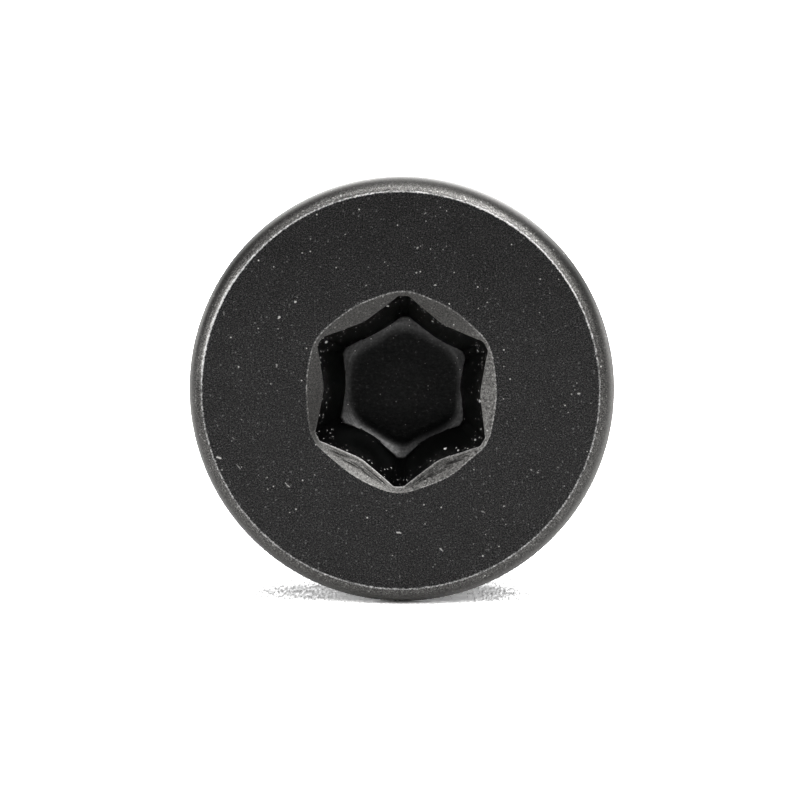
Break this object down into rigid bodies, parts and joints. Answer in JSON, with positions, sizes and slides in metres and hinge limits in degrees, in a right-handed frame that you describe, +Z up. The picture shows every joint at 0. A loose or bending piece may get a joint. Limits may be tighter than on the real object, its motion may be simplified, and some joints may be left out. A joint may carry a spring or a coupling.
{
  "type": "countersunk socket screw",
  "caption": "Flat-head countersunk machine screw with a tapered six-point socket drive and a fully threaded shank, black oxide finish, lying on its side.",
  "frame": {"origin": "middle of the screw's outline on the surface it lies on, at the height of that surface", "axes": "+Z up, -Y is the side the head faces; the screw's axis lies in the YZ plane, with the tip towards +Y and low, +X to the right as seen facing the head"},
  "size_m": [0.012, 0.0172, 0.0118],
  "materials": {
    "black_oxide_steel": "matt black oxide with a fine grain, brighter worn edges and tool marks at the socket mouth"
  },
  "bodies": {
    "root": {"screw": "black_oxide_steel"}
  },
  "joints": []
}
